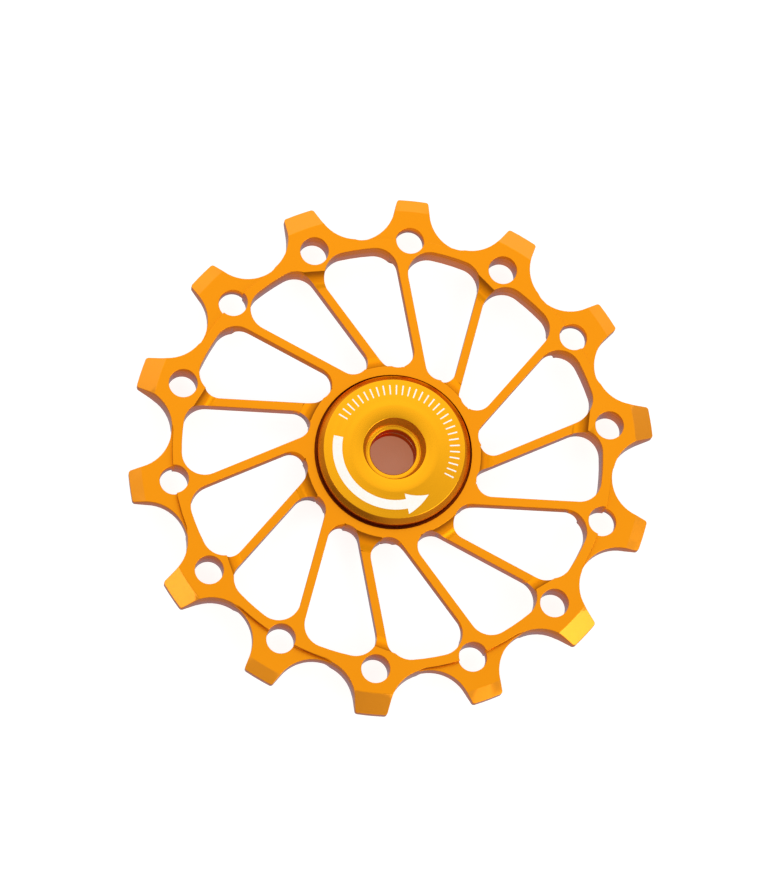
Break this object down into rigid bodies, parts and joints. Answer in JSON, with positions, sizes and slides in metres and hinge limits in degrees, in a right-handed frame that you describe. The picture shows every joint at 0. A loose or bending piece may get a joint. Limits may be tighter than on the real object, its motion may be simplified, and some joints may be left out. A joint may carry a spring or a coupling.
{
  "type": "derailleur jockey wheel",
  "caption": "Narrow-wide toothed jockey wheel for a bicycle derailleur, with leaning spokes, a shielded ball bearing in the hub and bolt-through caps on both sides.",
  "frame": {"origin": "centre of the wheel, on its axle and in its middle plane", "axes": "+Z along the axle out of the front face, +X through the middle of a wide tooth"},
  "size_m": [0.0588, 0.0578, 0.007],
  "materials": {
    "orange_anodised": "milled aluminium, satin orange anodised",
    "gold_anodised": "turned aluminium, satin golden-orange anodised",
    "bearing_steel": "ground and polished steel",
    "pressed_steel": "pressed steel sheet"
  },
  "bodies": {
    "axle": {"cap_front": "gold_anodised", "cap_back": "gold_anodised", "bearing_inner_ring": "bearing_steel"},
    "wheel": {"toothed_wheel": "orange_anodised", "bearing_outer_ring": "bearing_steel", "shield_front": "pressed_steel", "shield_back": "pressed_steel", "snap_ring_front": "pressed_steel", "snap_ring_back": "pressed_steel"},
    "cage": {"cage_front": "pressed_steel", "cage_back": "pressed_steel"},
    "ball_1": {"ball_1": "bearing_steel"},
    "ball_2": {"ball_2": "bearing_steel"},
    "ball_3": {"ball_3": "bearing_steel"},
    "ball_4": {"ball_4": "bearing_steel"},
    "ball_5": {"ball_5": "bearing_steel"},
    "ball_6": {"ball_6": "bearing_steel"},
    "ball_7": {"ball_7": "bearing_steel"},
    "ball_8": {"ball_8": "bearing_steel"},
    "ball_9": {"ball_9": "bearing_steel"}
  },
  "joints": [
    {"name": "wheel_spin", "type": "hinge", "parent": "axle", "child": "wheel", "pos_m": [0, 0, 0], "axis": [0, 0, 1], "continuous": true},
    {"name": "cage_orbit", "type": "hinge", "parent": "axle", "child": "cage", "pos_m": [0, 0, 0], "axis": [0, 0, 1], "continuous": true},
    {"name": "ball_1_spin", "type": "hinge", "parent": "cage", "child": "ball_1", "pos_m": [0.006, 0, 0], "axis": [0, 0, 1], "continuous": true},
    {"name": "ball_2_spin", "type": "hinge", "parent": "cage", "child": "ball_2", "pos_m": [0.0046, 0.00386, 0], "axis": [0, 0, 1], "continuous": true},
    {"name": "ball_3_spin", "type": "hinge", "parent": "cage", "child": "ball_3", "pos_m": [0.00104, 0.00591, 0], "axis": [0, 0, 1], "continuous": true},
    {"name": "ball_4_spin", "type": "hinge", "parent": "cage", "child": "ball_4", "pos_m": [-0.003, 0.0052, 0], "axis": [0, 0, 1], "continuous": true},
    {"name": "ball_5_spin", "type": "hinge", "parent": "cage", "child": "ball_5", "pos_m": [-0.00564, 0.00205, 0], "axis": [0, 0, 1], "continuous": true},
    {"name": "ball_6_spin", "type": "hinge", "parent": "cage", "child": "ball_6", "pos_m": [-0.00564, -0.00205, 0], "axis": [0, 0, 1], "continuous": true},
    {"name": "ball_7_spin", "type": "hinge", "parent": "cage", "child": "ball_7", "pos_m": [-0.003, -0.0052, 0], "axis": [0, 0, 1], "continuous": true},
    {"name": "ball_8_spin", "type": "hinge", "parent": "cage", "child": "ball_8", "pos_m": [0.00104, -0.00591, 0], "axis": [0, 0, 1], "continuous": true},
    {"name": "ball_9_spin", "type": "hinge", "parent": "cage", "child": "ball_9", "pos_m": [0.0046, -0.00386, 0], "axis": [0, 0, 1], "continuous": true}
  ],
  "couplings": [
    {"joint": "cage_orbit", "follows": "wheel_spin", "ratio": 0.58333},
    {"joint": "ball_1_spin", "follows": "wheel_spin", "ratio": 2.9167},
    {"joint": "ball_2_spin", "follows": "wheel_spin", "ratio": 2.9167},
    {"joint": "ball_3_spin", "follows": "wheel_spin", "ratio": 2.9167},
    {"joint": "ball_4_spin", "follows": "wheel_spin", "ratio": 2.9167},
    {"joint": "ball_5_spin", "follows": "wheel_spin", "ratio": 2.9167},
    {"joint": "ball_6_spin", "follows": "wheel_spin", "ratio": 2.9167},
    {"joint": "ball_7_spin", "follows": "wheel_spin", "ratio": 2.9167},
    {"joint": "ball_8_spin", "follows": "wheel_spin", "ratio": 2.9167},
    {"joint": "ball_9_spin", "follows": "wheel_spin", "ratio": 2.9167}
  ]
}
